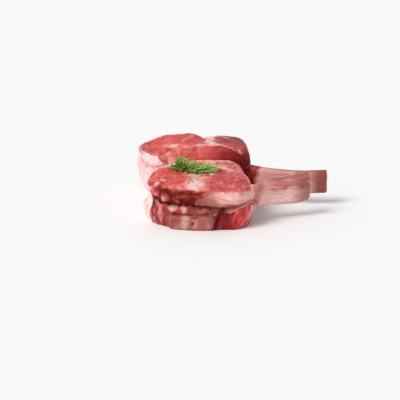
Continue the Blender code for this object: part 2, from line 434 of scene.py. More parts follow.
# %% Bone
def bone_material(name, scratch):
    """Clean bone over the painted tone, with fine scratches along it or, without scratch, an even grain."""
    material, tree, shader = new_material(name)
    along = (0.12, 0.3, 1.0) if scratch else (1.0, 1.0, 1.0)
    lines = ramp(tree, speckle(tree, 700.0, 3.0, 0.6, along), 0.3, 0.7, 0.82, 1.08)
    scraped = blend(tree, 1.0, attribute(tree, "tint"), lines, "MULTIPLY")
    tree.links.new(scraped, shader.inputs["Base Color"])
    tree.links.new(ramp(tree, speckle(tree, 200.0), 0.3, 0.7, 0.38, 0.6), shader.inputs["Roughness"])
    shader.inputs["Specular IOR Level"].default_value = 0.4
    shader.inputs["Subsurface Weight"].default_value = 0.08
    shader.inputs["Subsurface Radius"].default_value = (1.0, 0.5, 0.4)
    shader.inputs["Subsurface Scale"].default_value = 0.0015
    bump(tree, shader, lines, 0.5, 0.3)
    return material


LEAN, FAT = raw_lean_material(), fat_material()
RIB, SAWN = bone_material("scraped_rib", True), bone_material("sawn_bone", False)
print("materials:", [m.name for m in (LEAN, FAT, RIB, SAWN)])

# %% [markdown]
# ## The front half: relief
#
# The front half shows the most: its cut top with the rib eye, its chest side with a deep crease, and the
# ragged left end. Relief comes first and paint second, because the painted shade of a crease needs to sit in
# it.
# Places are in mm in the model's own frame, and each line below is a seam or a crease that runs on the
# surface there.

# %% Front half, lines that run on its surface
CREASE = [(-94, 33), (-87, 28), (-72, 28), (-54, 29), (-39, 28.5)]
CREASE += [(-27, 27.8), (-13, 26.8), (2, 29), (14, 31.5), (29, 31)]
DOTTED_CUT = [(-72, 17.6), (-57, 17.8), (-39, 18.8), (-21, 20.5)]
SIDE_GAP = [(-12, 24), (-17, 14), (-21.5, 3)]
FLAP_RIM = [(-13, 21.9), (-3, 23), (2.5, 25.2), (13, 29.4), (22, 31), (29, 30.2)]
EYE_SEAM = [(-60, 4), (-52, -12), (-45, -30), (-41, -50), (-41, -72), (-38, -92)]
REAR_STREAK = [(-30, 4), (-19, -4), (-8, -16), (4, -28), (14, -44)]
LEFT_SEAM = [(-96, -22), (-86, -36), (-82, -52), (-82, -72)]
RIGHT_RIM = [(20, -88), (22, -78), (21.5, -62), (17.5, -45), (12, -24), (7, -8), (-2, 2)]
# The upper edge of the membrane over the rib's root.
BAND_TOP = [(-47, 31), (-43, 37), (-36, 41), (-33, 44), (-29, 47.5)]
BAND_TOP += [(8, 47), (18, 45), (21.5, 44.5), (23.5, 60)]
# Round beads of fat at the left end: X, Y, Z and radius.
NODULES = [(-91, -67, 48.5, 4.4), (-84, -60, 50.5, 4.0), (-97, -64, 42.5, 3.6)]
# Low beads beside the crease: X, Z and radius.
CHEST_BEADS = [(-71.5, 24.5, 4.5), (-58.0, 23.0, 4.5), (-81.5, 36.0, 4.5), (-93.0, 35.5, 2.5)]
print(len(CREASE), "places on the crease")

# %% Front half, skin
FRONT_SOLIDS = ["front_meat", "front_fat_cap", "front_rib_bone", "chine_bone"]
FRONT_ROOT_END = 34  # mm, how far right the flesh skin goes round the rib's root


def front_shares(at):
    """How far each point lies inside the fat's border, in mm, and how much it shows the rib's membrane."""
    x, y, z = at.T
    to_lean = distance_to("front_meat", at)
    fatness = to_lean - distance_to("front_fat_cap", at) + 0.8 * noise(at, 9.0, 4)
    fatness += 12.0 * rise(x, -92, -98) * rise(z, 35, 29)
    lean_rim = rise(z + noise(at, 6.0, 58), 42, 45) * rise(x, -78, -84)
    lean_rim *= rise(y - x, 87, 83) * rise(y, 0, -4)
    fatness -= 9.0 * lean_rim
    band = rise(to_lean - distance_to("front_rib_bone", at), -0.9, 0.9)
    band_top = np.interp(x, *zip(*BAND_TOP))
    band *= rise(z + 1.5 * noise(at, 7.0, 17), band_top + 1.5, band_top - 1.5)
    return fatness, band


front = Skin(FRONT_SOLIDS, FINE, roots={"front_rib_bone": FRONT_ROOT_END})
front_fatness, front_band = front_shares(front.points)
print("fat share of the front skin: %.2f" % (front_fatness > 0).mean())


# %% Front half, relief
def facing(skin, direction, start=0.15, end=0.6):
    """1 where the skin faces along direction."""
    return rise(skin.normals @ np.array(direction, float), start, end)


def bead(points, place, radius):
    """1 in the middle of a small round bead and 0 past its rim."""
    return 1 - rise(np.linalg.norm(points - place, axis=1), 0.3 * radius, 1.4 * radius)


BONE_MIDDLE = (-49.5, 4.0)  # mm, X and Z of the sawn face
BONE_HALF = np.array([27.5, 13.5])  # mm, half its width and half its height
BONE_CORNER = 8.0  # mm, how round its corners are


def bone_face(points):
    """1 where the sawn backbone shows in the chest side, and 0 outside its uneven outline."""
    wander = points + 4.5 * np.stack([noise(points, 14.0, s) for s in (11, 12, 13)], 1)
    past = np.abs(wander[:, [0, 2]] - BONE_MIDDLE) - (BONE_HALF - BONE_CORNER)
    outside = np.hypot(*np.maximum(past, 0.0).T) + np.minimum(past.max(1), 0.0) - BONE_CORNER
    return rise(outside, 0.0, -2.5) * rise(points[:, 1], -86, -90)


def front_relief(skin, fatness, band):
    """Lobes, seams, nodules and creases of the front half, in mm along the normals."""
    at = skin.points
    x, y, z = at.T
    top, chest = facing(skin, (0, 0, 1), 0.3, 0.8), facing(skin, (-0.3, -1, 0), 0.1, 0.5)
    left_end = rise(x, -76, -90) * rise(y, -8, -30)
    lean = rise(fatness, 0.5, -1.0) * (1 - band)
    height = 0.6 * noise(at, 26.0, 1) + 0.4 * noise(at, 10.0, 2) + 0.22 * noise(at, 4.5, 3)
    height *= 1 - 0.7 * band
    height -= top * lean * 0.5 * near_line(at, EYE_SEAM, TOP, 0.4, 5.0) * rise(y, -60, -40)
    height -= top * lean * 1.2 * near_line(at, LEFT_SEAM, TOP, 0.4, 3.0)
    height += top * 0.9 * spot(at, (-46, -76), (10, 20), TOP)
    height += top * lean * 0.35 * noise(at, (4.0, 9.0, 8.0), 18)
    knobs = np.abs(noise(at, 11.0, 5))  # round knobs with sharp valleys between them
    free = (1 - 0.8 * facing(skin, (0, 0, -1))) * (1 - 0.6 * facing(skin, (-1, 0, 0), 0.4, 0.9))
    height += free * left_end * lean * (4.2 * knobs - 1.2)
    for *place, radius in NODULES:
        height += 1.6 * bead(at, place, radius) * lean
    dried = chest * rise(z, 30, 34) * rise(x, -30, -44) * lean
    height += dried * (1.2 * noise(at, (13.0, 13.0, 5.0), 6) + 0.6 * noise(at, 5.0, 16))
    height += chest * 1.0 * noise(at, (8.0, 8.0, 30.0), 7) * rise(x, -70, -78) * rise(z, 28, 24)
    deep = 1.0 + 0.6 * noise(at, (12.0, 12.0, 6.0), 8)
    creased = 1 - rise(off_line(at, CREASE, WALL) + 1.2 * noise(at, 5.0, 14), 0.0, 2.6)
    height -= chest * (1.1 + 2.6 * rise(x, -16, -44)) * deep * creased
    dots = 0.45 + 0.9 * noise(at, (4.0, 8.0, 8.0), 9)
    height -= chest * 2.0 * np.clip(dots, 0, 1) * near_line(at, DOTTED_CUT, WALL, 0.3, 2.0)
    height -= chest * 2.0 * (1 - rise(off_line(at, SIDE_GAP, WALL) + noise(at, 6.0, 15), 0.8, 4.5))
    below_flap = rise(x, -14, -8) * rise(z - np.interp(x, *zip(*FLAP_RIM)), 0.8, -1.2)
    height -= chest * 1.3 * below_flap
    height += chest * below_flap * 1.2 * noise(at, (8.0, 8.0, 18.0), 10)
    for *place, radius in CHEST_BEADS:
        height += 0.9 * spot(at, place, (radius, radius * 0.7), WALL, edge=0.8) * chest
    layer = chest * rise(z, 18, 20) * rise(z, 28, 26) * rise(x, -66, -60) * rise(x, -8, -14)
    height += layer * 1.1 * noise(at, (9.0, 9.0, 6.0), 19)
    height -= 1.2 * chest * bone_face(at)
    height *= 1 - 0.8 * facing(skin, (0, 0, -1), 0.5, 0.9)
    height -= 3.2 * rise(x + 3 * noise(at, 8.0, 20), 18, 36) * band
    height -= 2.2 * (1 - lean) * facing(skin, (-1, -0.3, 0)) * spot(at, (-104, 29), (12, 8), WALL, edge=0.7)
    height -= 2.2 * rise(z, 10, 1) * rise(x, 4, 16)
    return height


def corner(skin, x_rise, y_rise, z_rise):
    """1 in one corner of the skin, where each pair of numbers says where the mask rises along its axis."""
    x, y, z = skin.points.T
    return rise(x, *x_rise) * rise(y, *y_rise) * rise(z, *z_rise)


front.push(front_relief(front, front_fatness, front_band))
rear_rim = corner(front, (22, 0), (-10, 8), (36, 50)) * rise(front.points[:, 0], -78, -58)
front.push(2.4 * rear_rim, (0, 0, 1))  # the rim stands up a little
print("front half box:", front.points.min(0).round(1), front.points.max(0).round(1))

# %% [markdown]
# ## The front half: paint
#
# The paint goes from large to small, as a food stylist would colour a dummy: the muscles' own reds, then the
# dried outside, the fat between the muscles, and last the beads, the membranes, and the painted shade of the
# creases and gaps. Wide noise is added to each edge, since a tissue border is never a clean curve.


# %% Front half, paint
def paint_front(skin, fatness, band):
    """The tissues of the front half, and its painted shade and highlights."""
    at = skin.points + np.stack([noise(skin.points, 9.0, s) for s in (21, 22, 23)], 1) * 2.2
    x, y, z = at.T
    top, chest = facing(skin, (0, 0, 1), 0.25, 0.7), facing(skin, (-0.3, -1, 0), 0.1, 0.5)
    lean = rise(fatness, 0.6, -0.6)
    skin.tint[:] = TONES["cherry lean"]
    skin.paint("deep lean and shade", 0.45 * rise(noise(at, 22.0, 24), 0.0, 0.8))
    skin.paint("deep lean and shade", 0.75 * (1 - top))
    skin.paint("orange lean", top * rise(x, -46, -60))
    clouds = rise(noise(at, (12.0, 14.0, 20.0), 25), -0.1, 0.6)
    skin.paint("rose lean", top * 0.55 * clouds * rise(x, -52, -36))
    streaks = rise(noise(at, (5.0, 16.0, 20.0), 39), 0.1, 0.6)
    skin.paint("rose lean", top * 0.5 * streaks * rise(x, -46, -60))
    middle = near_line(at, EYE_SEAM, TOP, 3.0, 13.0)
    skin.paint("pale lean", top * middle * rise(noise(at, 12.0, 26), -1.0, -0.2))
    streaks = rise(noise(at, (4.0, 14.0, 9.0), 27), -0.7, 0.1)
    skin.paint("hard fat", top * 0.85 * spot(at, (-46, -77), (10, 21), TOP) * streaks)
    flecks = rise(noise(at, 5.0, 28), -0.3, 0.3)
    skin.paint("pink fat", top * 0.8 * spot(at, (-65, -84), (10, 8), TOP) * flecks)
    across_grain = at @ np.array([[0.8, 0.6, 0], [-0.6, 0.8, 0], [0, 0, 1]])
    flecks = rise(noise(across_grain, (3.5, 12.0, 9.0), 29), -0.2, 0.4)
    skin.paint("pink fat", top * 0.9 * spot(at, (4, -18), (14, 30), TOP) * flecks)
    streaks = rise(noise(at, (6.0, 12.0, 8.0), 65), -0.6, 0.1)
    skin.paint("cream fat", top * 0.9 * spot(at, (-40, -40), (18, 15), TOP) * streaks)
    skin.paint("cream fat", top * near_line(at, REAR_STREAK, TOP, 1.5, 5.0) * rise(x, 10, -6))
    rear_rim = top * rise(y + 3 * noise(at, 9.0, 38), -12, 2) * rise(x, -52, -64)
    skin.paint("pink fat", 0.85 * rear_rim)
    skin.paint("cream fat", 0.9 * top * rise(y + 2 * noise(at, 8.0, 77), 2, 6) * rise(x, 16, 6))
    streaks = rise(noise(at, (9.0, 4.0, 6.0), 80), -0.3, 0.2)
    skin.paint("cream fat", 0.8 * top * spot(at, (-20, -4), (14, 7), TOP) * streaks)
    edge_line = 1 - rise(off_line(at, RIGHT_RIM, TOP) + 0.8 * noise(at, 6.0, 66), 0.6, 2.6)
    skin.paint("pink fat", 0.9 * edge_line * rise(z, 43, 46) * (1 - band))
    left_end = rise(x, -78, -88) * rise(y, -10, -30)
    knobs = np.abs(noise(skin.points, 11.0, 5))
    skin.paint("rose lean", left_end * 0.5)
    # painted shade in the valleys between the knobs
    skin.paint("maroon", left_end * 0.7 * rise(knobs, 0.28, 0.05))
    skin.paint("pink fat", left_end * 0.8 * rise(knobs, 0.40, 0.65) * rise(z, 26, 34))
    skin.paint("pale lean", left_end * 0.6 * rise(noise(at, 6.0, 31), 0.2, 0.6) * rise(z, 30, 38))
    shoulder = lean * rise(z, 37, 42)
    # painted shade round the nodules, in maroon
    skin.paint("maroon", shoulder * 0.35 * spot(at, (-90, -64), (13, 11), TOP, edge=0.6))
    for *place, radius in NODULES:
        skin.paint("rose lean", lean * 0.9 * bead(skin.points, place, 1.1 * radius))
        skin.paint("pink fat", lean * bead(skin.points, place, 0.95 * radius))
        # painted highlight: the white middle of each bead, in the tone of hard fat
        skin.paint("hard fat", lean * 0.7 * bead(skin.points, place, 0.65 * radius))
    flecks = rise(noise(at, 3.5, 98), -0.5, 0.2)
    skin.paint("pale lean", top * 0.7 * spot(at, (-64, -89), (14, 5), TOP) * flecks)
    paint_chest(skin, at, chest, band)
    fat = 1 - lean
    skin.paint("hard fat", fat)
    skin.paint("cream fat", fat * top * 0.5)
    skin.paint("pink fat", fat * 0.6 * rise(noise(at, 11.0, 37), 0.1, 0.7))
    skin.paint("pink fat", fat * 0.6 * top * rise(noise(at, (5.0, 5.0, 8.0), 46), 0.0, 0.4))
    fat_spots = np.maximum(spot(at, (-46, -77), (12, 24), TOP), left_end)
    marbled_top = top * (0.7 + 0.3 * rise(x, -50, -30)) * (1 - fat_spots)
    skin.marble = lean * (1 - band) * (marbled_top + 0.1 * (1 - top))
    skin.streak = (1 - top) * (1 - band)


def paint_chest(skin, at, chest, band):
    """The chest side of the front half, from the dried muscle above to the backbone below."""
    x, y, z = at.T
    upper = chest * rise(z, 27, 31) * rise(z, 50, 46) * rise(x, -34, -42) * rise(x, -92, -86)
    skin.paint("dried lean and shade", upper)
    skin.paint("burnt lean", upper * rise(noise(at, (14.0, 14.0, 5.0), 32), -0.1, 0.35) * rise(x, -84, -72))
    skin.paint("maroon", upper * 0.8 * rise(noise(at, (10.0, 10.0, 5.0), 47), 0.1, 0.4))
    lower_left = chest * rise(z, 28, 25) * rise(x, -68, -75)
    skin.paint("deep lean and shade", lower_left * 0.65)
    skin.paint("pink fat", lower_left * 0.7 * rise(noise(at, (4.0, 4.0, 40.0), 33), 0.1, 0.5))
    skin.paint("maroon", lower_left * 0.7 * rise(noise(at, (4.0, 4.0, 40.0), 34), 0.1, 0.5))
    threads = rise(noise(at, (2.5, 2.5, 14.0), 68), -0.4, 0.2)
    skin.paint("pink fat", lower_left * 0.7 * spot(at, (-86, 19), (4.0, 8.0), WALL) * threads)
    skin.paint("maroon", chest * 0.8 * spot(at, (-94, 29), (3.5, 9.0), WALL))
    layer = chest * rise(z, 16, 19) * rise(z, 28, 26.5) * rise(x, -68, -62) * rise(x, -8, -16)
    skin.paint("brown membrane and shade", layer)
    lumps = noise(at, (12.0, 12.0, 5.0), 35)
    skin.paint("cartilage", layer * 0.4 * rise(lumps, 0.15, 0.6))
    skin.paint("deep lean and shade", layer * (0.25 + 0.4 * rise(lumps, 0.15, -0.2)))
    skin.paint("maroon", layer * 0.25)
    clouds = rise(noise(at, (8.0, 8.0, 4.0), 97), -0.4, 0.3)
    skin.paint("grey bone", layer * 0.6 * rise(x, -46, -40) * clouds)
    around = chest * rise(x, -81, -77) * rise(x, -14, -20) * rise(z, 20, 17)
    skin.paint("brown membrane and shade", around)
    skin.paint("deep lean and shade", around * 0.8 * rise(noise(at, (6.0, 6.0, 12.0), 69), -0.1, 0.4))
    low = chest * rise(x, -14, -9)
    slanted = at @ np.array([[0.94, 0, 0.34], [0, 1, 0], [-0.34, 0, 0.94]])
    skin.paint("deep lean and shade", low)
    skin.paint("bright lean", low * rise(x, -4, 8) * rise(noise(at, (9.0, 9.0, 14.0), 36), -0.7, 0.0))
    threads = rise(noise(slanted, (4.0, 4.0, 24.0), 40), 0.0, 0.4)
    skin.paint("rose lean", low * 0.9 * threads * rise(x, -4, 6))
    threads = rise(noise(slanted, (3.0, 3.0, 18.0), 70), 0.2, 0.5)
    skin.paint("pink fat", low * 0.7 * threads * rise(x, 4, 12))
    skin.paint("maroon", low * 0.6 * rise(noise(at, (5.0, 5.0, 10.0), 48), 0.1, 0.5) * rise(x, 10, 0))
    skin.paint("maroon", low * 0.6 * rise(x, -6, -12))
    skin.paint("rose lean", 0.8 * chest * rise(x, -36, -28) * rise(z, 40, 43))
    skin.paint("pink fat", 0.8 * chest * rise(x, 13, 18) * rise(z, 29, 30.5) * rise(z, 38, 34))
    skin.paint("brown membrane and shade", band)
    clouds = rise(noise(at, (14.0, 14.0, 5.0), 41), -0.4, 0.4)
    skin.paint("rib shade", band * 0.9 * clouds * rise(x, -14, -30))
    bright_band = rise(x + 5 * noise(at, 9.0, 42), -34, -8)
    skin.paint("membrane", band * bright_band)
    # painted shade: the lower edge of the rounded band is darker
    skin.paint("brown membrane and shade", band * 0.6 * rise(z + 2 * noise(at, 9.0, 49), 36, 32))
    skin.paint("hard fat", band * bright_band * 0.5 * rise(noise(at, (18.0, 18.0, 3.5), 43), 0.1, 0.6))
    # painted highlight in the middle of the band, in the tone of hard fat
    skin.paint("hard fat", band * 0.6 * spot(at, (-3, 40), (8, 3), WALL))
    streaks = rise(noise(at, (14.0, 14.0, 3.5), 44), 0.15, 0.6)
    skin.paint("brown membrane and shade", band * bright_band * 0.5 * streaks)
    flap = chest * rise(x, -17, -11) * rise(z - np.interp(x, *zip(*FLAP_RIM)), -0.8, 0.8)
    skin.paint("brown membrane and shade", flap * rise(z, 33, 30))
    rim = near_line(at, FLAP_RIM, WALL, 0.2, 1.5)
    skin.paint("pink fat", chest * 0.8 * rim * rise(noise(at, 7.0, 45), -0.6, 0.1))
    skin.paint("hard fat", chest * 0.4 * rim * rise(x, 6, 14))
    edge = rise(x, 15, 20) * rise(y, -76, -84) * rise(z, 29, 25) * (1 - rise(skin.normals[:, 2], 0.3, 0.7))
    skin.paint("pink fat", 0.8 * edge * rise(noise(slanted, (4.0, 4.0, 20.0), 50), -0.5, 0.2))
    skin.paint("hard fat", 0.4 * edge * rise(x, 20, 23))
    skin.paint("deep lean and shade", chest * 0.8 * spot(at, (-70, 22), (11, 4.5), WALL))
    shard = spot(at, (-71.0, 23.8), (6.0, 2.7), WALL) * rise(z - 0.6 * x + 1.2 * noise(at, 4.0, 71), 63, 65)
    skin.paint("hard fat", chest * 0.55 * shard)
    skin.paint("bright lean", chest * 0.6 * spot(at, (-65, 23), (4.5, 2.2), WALL))
    skin.paint("cartilage", chest * 0.8 * spot(at, (-58, 23.5), (3.2, 2.6), WALL, edge=0.7))
    # painted shade round the foot of the bead
    skin.paint("maroon", 0.8 * spot(at, (-81, 34), (9, 6), WALL) * chest)
    skin.paint("rose lean", 0.9 * spot(at, (-80.5, 36), (4.6, 4.4), WALL, edge=0.8) * chest)
    skin.paint("hard fat", 0.75 * spot(at, (-83.0, 34.6), (1.8, 3.0), WALL, 15, edge=0.9) * chest)
    skin.paint("rose lean", 0.9 * spot(at, (-93.2, 36), (2.6, 3.0), WALL, edge=0.8) * chest)
    skin.paint("pink fat", 0.6 * spot(at, (-91, 26), (2.0, 3.0), WALL, edge=0.8) * chest)
    # painted shade: the crease is darkened where shade falls in it, less towards the right
    creased = 1 - rise(off_line(at, CREASE, WALL) + 1.2 * noise(at, 5.0, 14), 0.2, 2.8)
    creased *= np.clip(0.75 + 0.6 * noise(at, (10.0, 10.0, 4.0), 57), 0, 1)
    creased *= 0.45 + 0.55 * rise(x, -14, -34)
    dots = np.clip(0.5 + 1.1 * noise(at, (4.0, 8.0, 8.0), 9), 0, 1)
    dotted = dots * near_line(at, DOTTED_CUT, WALL, 0.3, 2.2)
    # painted shade: maroon darkens the side gap, where shade falls; the same maroon marks the dots along the
    # cut
    gap = 1 - rise(off_line(at, SIDE_GAP, WALL) + noise(at, 5.0, 14), 0.8, 8.0)
    skin.paint("maroon", chest * np.maximum(gap * 0.85, dotted * 0.9))
    skin.paint("hollow shade", chest * np.maximum(creased, 0.15 * rise(gap, 0.6, 1.0)))
    skin.dull = np.maximum.reduce([0.35 * chest * (1 - band), 0.7 * upper, chest * creased, chest * gap])


paint_front(front, front_fatness, front_band)
front.store()
print("front mean tone:", front.tint.mean(0).round(2))

# %% [markdown]
# ## From one skin to lean and fat
#
# The cap of fat is a part of its own, so it needs a mesh of its own. Both meshes are cut from the same skin,
# which makes them meet exactly. The lean keeps the whole closed skin and dips under the fat. The fat keeps
# its share and a narrow skirt that dips under the lean, and Solidify gives it a wall.


# %% Cut the lean and the fat
def new_piece(name, mesh, material, slot, *replaced):
    """Makes an object for a finished mesh, puts it under the root body and hides the solids that it replaces.
    """
    mesh.name = name
    mesh.materials.clear()
    mesh.materials.append(material)
    mesh.shade_smooth()
    piece = bpy.data.objects.new(name, mesh)
    bpy.context.scene.collection.objects.link(piece)
    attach(piece, "root")
    if replaced:
        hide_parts(*replaced)
    print(name, len(mesh.polygons), "faces")


def sunk(skin, depth):
    """A copy of the skin's mesh with its points moved in by depth mm."""
    mesh = skin.mesh.copy()
    moved = skin.points - skin.normals * depth[:, None]
    moved[:, 2] = np.maximum(moved[:, 2], 0.0)
    mesh.vertices.foreach_set("co", (moved * MM).astype(np.float32).ravel())
    mesh.update()
    return mesh


SKIRT = 2.6  # mm of fat that reaches under the lean
CAP_WALL = 2.5  # mm


def lean_mesh(skin, fatness):
    """The whole skin, dipped where the fat lies on it."""
    return sunk(skin, 0.16 * np.clip(fatness, 0, 3) + 1.2 * rise(fatness, 2.0, 6.0))


def fat_mesh(skin, fatness):
    """The fat's share of the skin with its skirt, as a closed wall."""
    mesh = sunk(skin, 0.16 * np.clip(-fatness, 0, 3))
    share = bmesh.new()
    share.from_mesh(mesh)
    share.verts.ensure_lookup_table()
    bare = [share.verts[i] for i in np.flatnonzero(fatness < -SKIRT)]
    bmesh.ops.delete(share, geom=bare, context="VERTS")
    share.to_mesh(mesh)
    share.free()
    open_cap = bpy.data.objects.new("open_cap", mesh)
    bpy.context.scene.collection.objects.link(open_cap)
    wall = open_cap.modifiers.new("wall", "SOLIDIFY")
    wall.thickness = CAP_WALL * MM
    wall.offset = -1.0
    graph = bpy.context.evaluated_depsgraph_get()
    closed = bpy.data.meshes.new_from_object(open_cap.evaluated_get(graph))
    bpy.data.objects.remove(open_cap)
    return closed


new_piece("front_lean", lean_mesh(front, front_fatness), LEAN, "raw_lean", "front_meat")
new_piece("front_fat", fat_mesh(front, front_fatness), FAT, "fat", "front_fat_cap")

# %% [markdown]
# ## The rear half
#
# The rear half stands higher. Its top has two lobes with a notch of fat between them, a pale seam that runs
# near its front edge, and below that seam the muscle bulges forward in a band. The whole left and back are
# one smooth face of hard fat. It is made the same way, with its own lines.

# %% Rear half, lines that run on its surface
REAR_SEAM = [(-86, 47), (-75, 40), (-64, 33), (-55, 26), (-46, 29)]
REAR_SEAM += [(-34, 31), (-23, 28), (-14, 30), (-2, 23), (12, 17)]
FIBRE_STREAK = [(-74, 40), (-65, 48), (-57, 58), (-49, 67)]
NOTCH_FAT = [(-27, 76), (-25, 60), (-28, 48), (-24, 34)]
LOBE_EDGE = [(-27, 79), (-14, 75), (-3, 70)]
FAT_CREASE = [(-116, 58, 50), (-113, 48, 43), (-104, 33, 41), (-93, 25.3, 43), (-84, 22, 45)]
# Z and X of the border between lean and fat at the left end of the front wall.
FAT_BORDER = [(47, -86.6), (50, -87.8), (53.5, -90.4), (56.7, -93), (59.5, -97), (61, -101)]
print(len(REAR_SEAM), "places on the seam")

# %% Rear half, skin
REAR_SOLIDS = ["rear_meat", "rear_fat_cap", "rear_rib_bone"]
REAR_ROOT_END = 39  # mm, how far right the flesh skin goes round the rib's root


def rear_shares(at):
    """How far each point lies inside the fat's border, in mm, and how much it shows the rib's root."""
    x, y, z = at.T
    to_lean = distance_to("rear_meat", at)
    fatness = to_lean - distance_to("rear_fat_cap", at) + 0.8 * noise(at, 9.0, 44)
    border = np.interp(z, *zip(*FAT_BORDER))
    lean_corner = rise(x - border + 1.5 * noise(at, 6.0, 49), -2, 2)
    fatness -= 8.0 * lean_corner * rise(z, 46, 49) * rise(y, 62, 50)
    high_lean = rise(z + noise(at, 6.0, 94), 56, 59) * rise(x, -92, -100)
    fatness -= 12.0 * high_lean * rise(y, 90, 80)
    return fatness, rise(to_lean - distance_to("rear_rib_bone", at), -0.9, 0.9)


rear = Skin(REAR_SOLIDS, FINE, roots={"rear_rib_bone": REAR_ROOT_END})
rear_fatness, rear_root = rear_shares(rear.points)
print("fat share of the rear skin: %.2f" % (rear_fatness > 0).mean())


# %% Rear half, relief
def rear_relief(skin, fatness, root):
    """Lobes, seam, bulging band and the creases of the fat face, in mm along the normals."""
    at = skin.points
    x, z = at[:, 0], at[:, 2]
    top, front_wall = facing(skin, (0, 0, 1), 0.3, 0.8), facing(skin, (0, -1, 0), 0.1, 0.6)
    lean = rise(fatness, 0.5, -1.0)
    height = 0.6 * noise(at, 28.0, 41) + 0.4 * noise(at, 10.0, 42) + 0.2 * noise(at, 4.5, 43)
    height -= top * lean * 1.2 * near_line(at, REAR_SEAM, TOP, 0.6, 3.8)
    height -= top * lean * 0.9 * near_line(at, FIBRE_STREAK, TOP, 0.4, 2.6)
    height += top * 1.3 * near_line(at, NOTCH_FAT, TOP, 1.5, 6.0)
    height += top * (1.8 * spot(at, (-95, 90), (16, 14), TOP) + 1.6 * spot(at, (-44, 76), (14, 12), TOP))
    height -= top * 1.8 * spot(at, (8, 60), (20, 26), TOP)
    height += front_wall * lean * (0.9 + 0.7 * noise(at, (14.0, 14.0, 9.0), 45))
    fat = 1 - lean
    height -= fat * 2.2 * near_line(at, FAT_CREASE, (0, 1, 2), 0.4, 4.0)
    height += fat * (0.7 * noise(at, (20.0, 20.0, 10.0), 46) + 0.3 * noise(at, (9.0, 9.0, 4.0), 47))
    height *= 1 - 0.8 * facing(skin, (0, 0, -1), 0.5, 0.9)
    height += top * lean * 0.35 * noise(at, (5.0, 9.0, 8.0), 39)
    wedge = rise(x + 3 * noise(at, 9.0, 48), 36, 19) * rise(z, 41, 46)
    height += root * (1.2 * wedge - 2.6 * (1 - wedge) * rise(x, 17, 27))
    return height


rear.push(rear_relief(rear, rear_fatness, rear_root))
upper_left = corner(rear, (-98, -116), (100, 84), (46, 58))
rear.push(3.0 * upper_left, (-0.5, 0, 0.9))  # the corner where lean and fat meet is drawn up
lip = corner(rear, (-104, -116), (90, 78), (53, 58)) * rise(rear.points[:, 2], 66, 60)
rear.push(4.0 * lip, (-1, 0, 0))  # and its edge is drawn out to the left
lower_left = corner(rear, (-84, -104), (100, 84), (15, 0))
rear.push(8.0 * lower_left, (0.95, 0.3, 0))  # the lower left edge is round
print("rear half box:", rear.points.min(0).round(1), rear.points.max(0).round(1))


